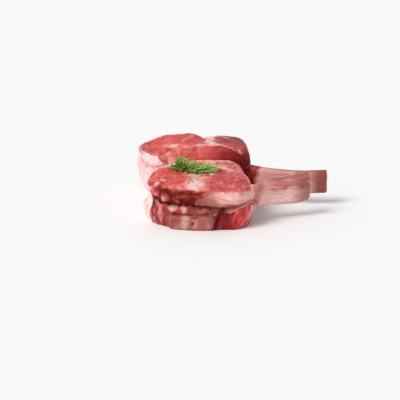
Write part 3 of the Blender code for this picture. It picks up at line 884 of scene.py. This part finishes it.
# %% Rear half, paint
def paint_rear(skin, fatness, root):
    """The tissues of the rear half, and its painted shade."""
    at = skin.points + np.stack([noise(skin.points, 9.0, s) for s in (51, 52, 53)], 1) * 2.2
    x, y, z = at.T
    top, front_wall = facing(skin, (0, 0, 1), 0.25, 0.7), facing(skin, (0, -1, 0), 0.1, 0.5)
    lean = rise(fatness, 0.6, -0.6)
    skin.tint[:] = TONES["cherry lean"]
    skin.paint("deep lean and shade", 0.45 * rise(noise(at, 22.0, 54), 0.0, 0.8))
    skin.paint("orange lean", top * rise(x, -30, -52) * rise(y, 34, 46))
    fan = noise(at @ np.array([[0.7, -0.7, 0], [0.7, 0.7, 0], [0, 0, 1]]), (26.0, 4.0, 18.0), 55)
    skin.paint("rose lean", top * 0.45 * rise(fan, 0.1, 0.6) * rise(x, -30, -48))
    skin.paint("deep lean and shade", top * 0.7 * rise(fan, 0.0, -0.5) * rise(x, -30, -48))
    right_lobe = top * rise(x, -20, -8) * rise(y, 28, 40)
    skin.paint("deep lean and shade", right_lobe * 0.9)
    skin.paint("cherry lean", right_lobe * 0.5 * rise(noise(at, (12.0, 5.0, 8.0), 83), -0.2, 0.4))
    skin.paint("dried lean and shade", right_lobe * 0.6 * rise(noise(at, (14.0, 6.0, 8.0), 84), 0.0, 0.5))
    # painted shade: the right lobe darkens towards its right edge, away from the light
    skin.paint("dried lean and shade", right_lobe * 0.6 * rise(x, 2, 14))
    clouds = rise(noise(at, (18.0, 18.0, 6.0), 56), -0.4, 0.4)
    skin.paint("rose lean", front_wall * 0.7 * clouds * rise(x, -10, -40))
    clouds = rise(noise(at, (9.0, 9.0, 4.0), 72), 0.0, 0.5)
    skin.paint("pale lean", front_wall * 0.5 * clouds * rise(x, -24, -44))
    # painted shade: the front wall darkens towards the right, away from the light
    skin.paint("deep lean and shade", front_wall * 0.95 * rise(x, -30, -4))
    clouds = rise(noise(at, 7.0, 73), -0.6, 0.0)
    skin.paint("cream fat", front_wall * 0.8 * spot(at, (-80, 51), (10, 5.5), WALL) * clouds)
    # lean on the rib's root, darkened as painted shade where it lies between the two halves
    skin.paint("deep lean and shade", root)
    skin.paint("dried lean and shade", root * 0.6 * rise(noise(at, 8.0, 60), -0.2, 0.4))
    # painted shade on the sides of the right end, away from the light
    skin.paint("dried lean and shade", (1 - top) * 0.9 * rise(x, -8, 10))
    streak_near = off_line(at, FIBRE_STREAK, TOP)
    skin.paint("rose lean", top * 0.9 * (1 - rise(streak_near, 0.8, 3.4)))
    skin.paint("pale lean", top * 0.8 * (1 - rise(streak_near, 0.2, 1.6)) * rise(x, -72, -64))
    seam_breaks = rise(noise(at, (6.0, 9.0, 9.0), 61), -0.6, 0.1)
    seam_near = off_line(at, REAR_SEAM, TOP) + 1.2 * noise(at, 5.0, 74)
    skin.paint("rose lean", 0.7 * (1 - rise(seam_near, 2.0, 9.0)) * rise(x, -8, -30) * rise(z, 60, 64))
    skin.paint("pink fat", top * 0.9 * (1 - rise(seam_near, 0.8, 4.5)) * seam_breaks)
    white_seam = rise(x, -46, -38) * rise(x, -6, -12)
    skin.paint("hard fat", top * 0.8 * white_seam * (1 - rise(seam_near, 0.5, 3.5)))
    flecks = rise(noise(at, 4.0, 75), -0.7, -0.1)
    skin.paint("hard fat", top * 0.9 * spot(at, (-74, 39), (4.5, 4.0), TOP) * flecks)
    notch = off_line(at, NOTCH_FAT, TOP) + 1.5 * noise(at, 6.0, 76)
    skin.paint("pink fat", top * 0.9 * (1 - rise(notch, 4.0, 9.0)))
    flecks = rise(noise(at, (4.0, 8.0, 6.0), 57), -0.6, 0.1)
    skin.paint("hard fat", top * 0.9 * (1 - rise(notch, 2.0, 6.0)) * flecks)
    skin.paint("pink fat", top * 0.8 * near_line(at, LOBE_EDGE, TOP, 0.6, 3.5))
    fat = 1 - lean
    skin.paint("hard fat", fat)
    skin.paint("pink fat", fat * 0.45 * rise(noise(at, 13.0, 58), 0.1, 0.8))
    stains = rise(noise(at, (9.0, 9.0, 5.0), 59), -0.2, 0.5)
    skin.paint("pink fat", fat * 0.5 * rise(z, 24, 34) * rise(z, 50, 44) * stains)
    vein = rise(np.abs(noise(at, (22.0, 22.0, 14.0), 62)), 0.10, 0.01) * rise(noise(at, 18.0, 63), -0.1, 0.5)
    skin.paint("grey vein and crease shade", fat * 0.45 * vein)
    skin.paint("rose lean", fat * 0.5 * rise(noise(at, (6.0, 6.0, 4.0), 64), 0.5, 0.8))
    left_face = fat * rise(x, -80, -88) * rise(y, 76, 66)
    stains = rise(noise(at, 5.0, 98), -0.6, 0.2)
    skin.paint("pink fat", left_face * 0.5 * spot(at, (-108, 44), (11, 5), WALL) * stains)
    skin.paint("grey vein and crease shade", left_face * 0.45 * rise(noise(at, (5.0, 5.0, 3.0), 99), 0.3, 0.6))
    in_crease = off_line(at, FAT_CREASE, (0, 1, 2))
    # painted shade: grey in the crease of the fat face
    skin.paint("grey vein and crease shade", fat * 0.7 * (1 - rise(in_crease, 0.4, 2.6)))
    stains = rise(noise(at, 4.0, 100), -0.3, 0.3)
    skin.paint("brown membrane and shade", fat * 0.4 * (1 - rise(in_crease, 0.2, 1.6)) * stains)
    skin.paint("brown membrane and shade", 0.8 * spot(at, (-116, 57), (4, 3.0), WALL) * rise(y, 76, 70))
    skin.marble = lean * (1 - root) * (0.75 - 0.6 * np.maximum(front_wall, 1 - top) * rise(x, -40, -6))
    skin.marble *= 1 - 0.75 * rise(x, -18, -6)
    skin.streak = (1 - top) * 0.7
    skin.dull = (1 - top) * 0.4 * rise(x, -6, 14)


paint_rear(rear, rear_fatness, rear_root)
rear.store()
new_piece("rear_lean", lean_mesh(rear, rear_fatness), LEAN, "raw_lean", "rear_meat")
new_piece("rear_fat", fat_mesh(rear, rear_fatness), FAT, "fat", "rear_fat_cap")

# %% [markdown]
# ## The two ribs
#
# A scraped rib is a flat, curved bar on its edge. Its upper half is browner, where the scraping left a thin
# film, and its face is pale with long scratches. The sawn end shows a ring of hard bone round dark marrow.
# The root of the front rib still has its silvery membrane and lies in the chest side of the meat.

# %% Ribs
FRONT_RIB_WAY = [(-44, -94), (-10, -97), (18, -86), (35, -70), (60, -56), (94.5, -38.1)]
REAR_RIB_WAY = [(-10, 32), (17, 24), (41, 15), (67, 9), (95, 6), (123, 6)]


def way_along(points, way):
    """How far along a line through the given places each point lies, in mm, and its side distance."""
    flat, best = points[:, :2], np.full(len(points), 1e9)
    along, side, passed = np.zeros(len(points)), np.zeros(len(points)), 0.0
    for start, end in itertools.pairwise(np.array(way, float)):
        step = end - start
        length = np.linalg.norm(step)
        t = np.clip((flat - start) @ step / length**2, 0.0, 1.0)
        gap = flat - start - t[:, None] * step
        distance = np.linalg.norm(gap, axis=1)
        closer = distance < best
        best = np.where(closer, distance, best)
        along = np.where(closer, passed + t * length, along)
        side = np.where(closer, (gap @ np.array([step[1], -step[0]])) / length, side)
        passed += length
    return along, side, passed


def shaped_rib(node_name, way, seed, root, brown, end_shade, root_tone):
    """One rib. It dips under the flesh left of root mm, where the root tone still sticks to it.

    Brown says how strong the film on its upper half is, and one less brown how strong the painted shade on its
    lower half is; end_shade says how dark its far end is."""
    skin = Skin([node_name], 0.75 * FINE, swell=0.5, soften=3)
    along, side, length = way_along(skin.points, way)
    grain = np.stack([along, side, skin.points[:, 2]], 1)
    height = 0.5 * noise(grain, (36.0, 9.0, 10.0), seed) + 0.25 * noise(grain, (30.0, 3.0, 3.2), seed + 1)
    end = rise(along, length - 1.5, length - 0.4)
    height -= end * 0.8 * rise(np.abs(side), 5.0, 3.0)
    height -= 2.2 * rise(skin.points[:, 0] + 2.0 * noise(skin.points, 9.0, seed + 6), root + 4, root - 4)
    skin.push(height)
    at = skin.points
    x, z = at[:, 0], at[:, 2]
    level = (z - z.min()) / np.ptp(z)  # 0 at the lower edge and 1 at the upper one
    skin.tint[:] = TONES["rib face"]
    edge = level + 0.10 * noise(grain, (26.0, 6.0, 5.0), seed + 2)
    skin.paint("rib top", brown * rise(edge, 0.44, 0.66))
    skin.paint("rib shade", 0.3 * rise(noise(grain, (40.0, 5.0, 3.0), seed + 3), 0.1, 0.6))
    skin.paint("hard fat", 0.4 * rise(noise(grain, (34.0, 5.0, 3.0), seed + 4), 0.2, 0.7))
    line = rise(np.abs(edge - 0.60), 0.05, 0.0) * rise(noise(grain, 14.0, seed + 7), -0.4, 0.2)
    skin.paint("rib shade", 0.7 * line)
    streaks = rise(noise(grain, (30.0, 5.0, 4.0), seed + 10), -0.5, 0.3)
    skin.paint("hard fat", brown * 0.5 * rise(edge, 0.42, 0.22) * streaks)
    # painted shade on the rear rib's lower part, which the front rib hides from the light
    skin.paint("rib shade", (1 - brown) * 1.4 * rise(edge, 0.62, 0.40) * rise(x, 92, 70))
    slant = edge - 0.3 - 0.009 * (x - 43)  # painted shade: a dark line that climbs towards the end of the rib, just above the front rib's top edge
    shade_line = rise(slant, 0.20, 0.04) * rise(slant, -0.25, -0.05)
    skin.paint("rib shade", (1 - brown) * 1.9 * shade_line * rise(x, 100, 84))
    # a pale rim along the top edge: partly real membrane, partly painted highlight
    skin.paint("membrane", 0.85 * rise(edge, 0.80, 0.92))
    skin.paint("rib shade", 0.6 * rise(skin.normals[:, 2], 0.6, 0.9))
    skin.paint("cherry lean", 0.3 * rise(noise(grain, (6.0, 4.0, 4.0), seed + 5), 0.5, 0.75))
    skin.paint("membrane", 0.8 * rise(x + 4.0 * noise(at, 8.0, 78), root + 26, root + 3))
    skin.paint(root_tone, rise(x - 12 * level + 3 * noise(at, 8.0, 79), root + 6, root - 3))
    skin.paint("rib shade", rise(along, length - 30, length - 10) * end_shade)
    flecks = rise(noise(at, 7.0, seed + 11), 0.1, 0.5)
    skin.paint("hard fat", brown**5 * 0.6 * rise(along, length - 7, length - 2) * flecks)
    skin.paint("deep lean and shade", rise(along, length - 20, length - 4) * 0.35 * end_shade)
    skin.paint("cartilage", end)
    marrow = np.hypot(side / 4.4, (level - 0.5) / 0.40) + 0.12 * noise(at, 5.0, seed + 8)
    skin.paint("marrow", end * rise(marrow, 1.0, 0.85))
    skin.paint("deep lean and shade", end * 0.5 * rise(marrow, 0.85, 0.7) * rise(noise(at, 2.6, seed + 9), 0.0, 0.5))
    skin.dull[:] = 0.5
    skin.store()
    return skin.mesh


front_rib = shaped_rib("front_rib_bone", FRONT_RIB_WAY, 61, 28, 1.0, 0.7, "rib top")
new_piece("front_rib", front_rib, RIB, "rib_bone", "front_rib_bone")
# the rear rib's root tone is lean, darkened as painted shade
rear_rib = shaped_rib("rear_rib_bone", REAR_RIB_WAY, 71, 25, 0.6, 1.0, "deep lean and shade")
new_piece("rear_rib", rear_rib, RIB, "rib_bone", "rear_rib_bone")

# %% [markdown]
# ## The sawn backbone
#
# The saw has opened the spongy bone, so it is beige and full of pores with red specks. A nerve canal with a
# pale rim is cut across, and past it the bone is smooth and greyish.

# %% Backbone piece
CANAL = (-47.2, 9.1)  # mm, the nerve canal on the sawn face


def shaped_backbone():
    """The piece of backbone: spongy bone to the left of the nerve canal and smooth bone past it."""
    skin = Skin(["chine_bone"], 0.6 * FINE, swell=0.3, soften=2)
    at = skin.points
    x, z = at[:, 0], at[:, 2]
    spongy = rise(x + 2 * noise(at, 6.0, 84), -50, -57)
    pores = rise(noise(at, 2.6, 81), 0.2, 0.6)
    oval = (at[:, [0, 2]] - CANAL) * (1.1, 0.9)
    ring = np.hypot(*oval.T) + 1.6 * noise(at, 7.0, 85)
    face = facing(skin, (0, -1, 0), 0.2, 0.6)
    shown = bone_face(at)
    height = 0.5 * noise(at, 9.0, 82) + 0.25 * noise(at, 3.5, 86) - 0.6 * pores * spongy * face
    height += face * (0.5 * rise(ring, 6.0, 4.0) - 2.0 * rise(ring, 3.0, 1.0))
    height -= 2.4 * (1 - shown)
    skin.push(height)
    skin.tint[:] = TONES["grey bone"]
    skin.paint("rib shade", 0.5 * rise(noise(at, (7.0, 7.0, 24.0), 87), -0.1, 0.5))
    skin.paint("cartilage", 0.2 * rise(noise(at, (8.0, 8.0, 18.0), 90), 0.0, 0.6))
    skin.paint("sawn bone", spongy)
    skin.paint("brown membrane and shade", spongy * 0.8 * rise(noise(at, 9.0, 91), -0.3, 0.4))
    skin.paint("cartilage", spongy * 0.3 * rise(x - 0.5 * z + 3 * noise(at, 7.0, 92), -76, -60))
    skin.paint("cartilage", 0.6 * spot(at, (-57.5, 8), (3.4, 12), WALL, -8, edge=0.9))
    skin.paint("marrow", spongy * 0.3 * pores)
    skin.paint("cartilage", 0.35 * rise(ring, 8.0, 3.5) * rise(x, -50, -46))
    skin.paint("brown membrane and shade", 0.6 * rise(ring, 4.0, 0.8))
    skin.paint("marrow", 0.5 * rise(ring, 2.4, 0.6))
    skin.paint("cherry lean", 0.6 * rise(z + noise(at, 6.0, 89), 5.0, 2.5) * rise(x, -48, -42))
    skin.paint("brown membrane and shade", 0.9 * (1 - rise(shown, 0.2, 1.0)))
    skin.dull[:] = 0.6
    skin.store()
    return skin.mesh


new_piece("backbone", shaped_backbone(), SAWN, "sawn_bone", "chine_bone")

# %% [markdown]
# ## The rosemary sprig
#
# A sprig is a thin woody stem with narrow leaves all round it. A leaf is dark and glossy above with its edges
# rolled under, and pale below. Each one is a small sphere of a few dozen faces that is drawn out, turned and
# bent into place, and no two are quite alike.

# %% Stem
STEM_WAY = [(-75, -5, 54), (-65, -15, 54.4), (-55, -23, 54.4)]
STEM_WAY += [(-45, -27.5, 54.6), (-36, -29, 54.8), (-25, -29.5, 54.8)]
# A side shoot that stands up.
SHOOT_WAY = [(-66, -14, 54.5), (-65.5, -13, 57.5), (-65, -12, 60.5), (-64.5, -11, 63)]
STEM_THICK = 1.9  # mm across at the cut end


def stem_place(t, places=STEM_WAY):
    """The place and direction on a stem at t from 0, its cut end, to 1, its tip."""
    way = [Vector(p) for p in places]
    step = min(int(t * (len(way) - 1)), len(way) - 2)
    part = t * (len(way) - 1) - step
    return way[step].lerp(way[step + 1], part), (way[step + 1] - way[step]).normalized()


def green_material(name, dark, light, rough):
    """A plant surface that takes its tone from the painted attribute, with fine streaks."""
    material, tree, shader = new_material(name)
    streaks = ramp(tree, speckle(tree, 900.0, 2.0), 0.3, 0.7, dark, light)
    toned = blend(tree, 1.0, attribute(tree, "tint"), streaks, "MULTIPLY")
    tree.links.new(toned, shader.inputs["Base Color"])
    shader.inputs["Roughness"].default_value = rough
    shader.inputs["Specular IOR Level"].default_value = 0.35
    bump(tree, shader, streaks, 0.3, 0.15)
    return material


def shaped_stem():
    """A tapering stem: a cone with rings along it, each ring moved to its place on the way."""
    stem = bmesh.new()
    bmesh.ops.create_cone(
        stem, cap_ends=True, segments=8, radius1=STEM_THICK / 2, radius2=STEM_THICK / 5, depth=1.0
    )
    sides = [e for e in stem.edges if abs(e.verts[0].co.z - e.verts[1].co.z) > 0.5]
    bmesh.ops.subdivide_edges(stem, edges=sides, cuts=24, use_grid_fill=True)
    tints = []
    for vert in stem.verts:
        t = vert.co.z + 0.5
        place, way = stem_place(t)
        across = way.cross(Vector((0, 0, 1))).normalized()
        vert.co = (place + across * vert.co.x + across.cross(way) * vert.co.y) * MM
        tints.append(tone(122, 84, 52) * (1 - t) + tone(120, 140, 70) * t)
    mesh = bpy.data.meshes.new("stem")
    bmesh.ops.recalc_face_normals(stem, faces=stem.faces)
    stem.to_mesh(mesh)
    stem.free()
    paint_points(mesh, tints)
    return mesh


STALK = green_material("rosemary_stem", 0.8, 1.1, 0.7)
new_piece("sprig_stem", shaped_stem(), STALK, "rosemary")

# %% Leaves
LEAF_GREENS = [(96, 158, 28), (132, 194, 50), (60, 104, 18), (168, 212, 84), (118, 162, 38)]
LEAF_TONES = [tone(*green) for green in LEAF_GREENS]


def add_leaf(leaves, tints, place, way, length, width, tone_now, bend):
    """One needle leaf, from place along way, bending down by bend mm at its tip."""
    made = bmesh.ops.create_uvsphere(leaves, u_segments=6, v_segments=7, radius=0.5)["verts"]
    across = way.cross(Vector((0, 0, 1))).normalized()
    up = across.cross(way)
    for vert in made:
        x, y, t = vert.co.x, vert.co.y, vert.co.z + 0.5
        slim = 1.0 - 0.35 * t
        spine = place + way * (t * length) - Vector((0, 0, 1)) * bend * t * t
        side = across * x * width * slim
        vert.co = (spine + side + up * (y * width * 0.55 - abs(x) * 0.5 * width)) * MM
        tints.append(tone_now if y > -0.12 else tone_now * 0.5 + tone(186, 204, 130) * 0.5)


def add_leaves(leaves, tints, draw, way_points, count, longest, spread):
    """Leaves along a stem, with about spread degrees between a leaf and the stem near the cut end."""
    for n in range(count):
        t = 0.05 + 0.95 * n / (count - 1)
        place, way = stem_place(t, way_points)
        across = way.cross(Vector((0.15, 0.1, 1))).normalized()
        up = across.cross(way)
        roll = math.radians(n * 137.5 + draw.uniform(-20, 20))  # the golden angle, so that no rows form
        out = across * math.cos(roll) + up * math.sin(roll)
        if out.z < -0.15:  # no room below the stem: the leaf lies flat on the meat instead
            out = Vector((out.x, out.y, 0.1)).normalized()
        lean = math.radians(spread * draw.uniform(0.75, 1.3) * (1.0 - 0.55 * t))
        aim = (way * math.cos(lean) + out * math.sin(lean)).normalized()
        length = longest * draw.uniform(0.75, 1.0) * (1.0 - 0.35 * t)
        sizes = length, draw.uniform(1.7, 2.3), draw.choice(LEAF_TONES), draw.uniform(-0.4, 1.4)
        add_leaf(leaves, tints, place, aim, *sizes)


def shaped_leaves():
    """All the leaves of the sprig as one mesh."""
    draw = random.Random(12)
    leaves, tints = bmesh.new(), []
    add_leaves(leaves, tints, draw, STEM_WAY, 160, 21.0, 66)
    add_leaves(leaves, tints, draw, SHOOT_WAY, 28, 12.0, 45)
    mesh = bpy.data.meshes.new("leaves")
    leaves.to_mesh(mesh)
    leaves.free()
    paint_points(mesh, tints)
    return mesh


LEAF = green_material("rosemary_leaf", 0.85, 1.12, 0.42)
new_piece("sprig_leaves", shaped_leaves(), LEAF, "rosemary", "rosemary_sprig")

# %% [markdown]
# ## Floor, light and camera
#
# Raw meat looks its best in wide, soft light from above and from the front left, which keeps its reds clean
# and its wet highlights broad. The floor is plain and pale. The standard view transform keeps the painted
# tones as they are.

# %% Floor
floor_sheet = bmesh.new()
bmesh.ops.create_grid(floor_sheet, x_segments=1, y_segments=1, size=3.0)
floor_mesh = bpy.data.meshes.new("floor")
floor_sheet.to_mesh(floor_mesh)
floor_sheet.free()
floor = bpy.data.objects.new("floor", floor_mesh)
bpy.context.scene.collection.objects.link(floor)
paper, _, paper_shader = new_material("pale_floor")
paper_shader.inputs["Base Color"].default_value = (0.9, 0.9, 0.9, 1.0)
paper_shader.inputs["Roughness"].default_value = 0.8
floor.data.materials.append(paper)

# %% Light
bpy.context.scene.view_settings.view_transform = "Standard"
world = bpy.data.worlds.new("soft_room")
bpy.context.scene.world = world
world.use_nodes = True
world.node_tree.nodes["Background"].inputs["Color"].default_value = (1.0, 1.0, 1.0, 1.0)
world.node_tree.nodes["Background"].inputs["Strength"].default_value = 0.58

LIGHT_WAY = Vector((0.62, 0.42, -0.8))  # the light goes to the right, to the back and down
sun = bpy.data.lights.new("wide_lamp", "SUN")
sun.energy = 2.1
sun.angle = math.radians(28)
sun_holder = bpy.data.objects.new("wide_lamp", sun)
sun_holder.rotation_euler = LIGHT_WAY.to_track_quat("-Z", "Y").to_euler()
bpy.context.scene.collection.objects.link(sun_holder)
print("lights ready")

# %% Camera
CAMERA_AIM = Vector((-0.0389, 0.0242, 0.0))
CAMERA_AWAY = 1.4  # metres
CAMERA_RAISED = math.radians(17.2)

camera = bpy.data.objects.new("camera", bpy.data.cameras.new("camera"))
bpy.context.scene.collection.objects.link(camera)
back = Vector((0.0, -math.cos(CAMERA_RAISED), math.sin(CAMERA_RAISED)))
camera.location = CAMERA_AIM + back * CAMERA_AWAY
camera.rotation_euler = (-back).to_track_quat("-Z", "Y").to_euler()
camera.data.sensor_width = 36.0
camera.data.lens = 96.92
bpy.context.scene.camera = camera
print("camera at", [round(c, 3) for c in camera.location])
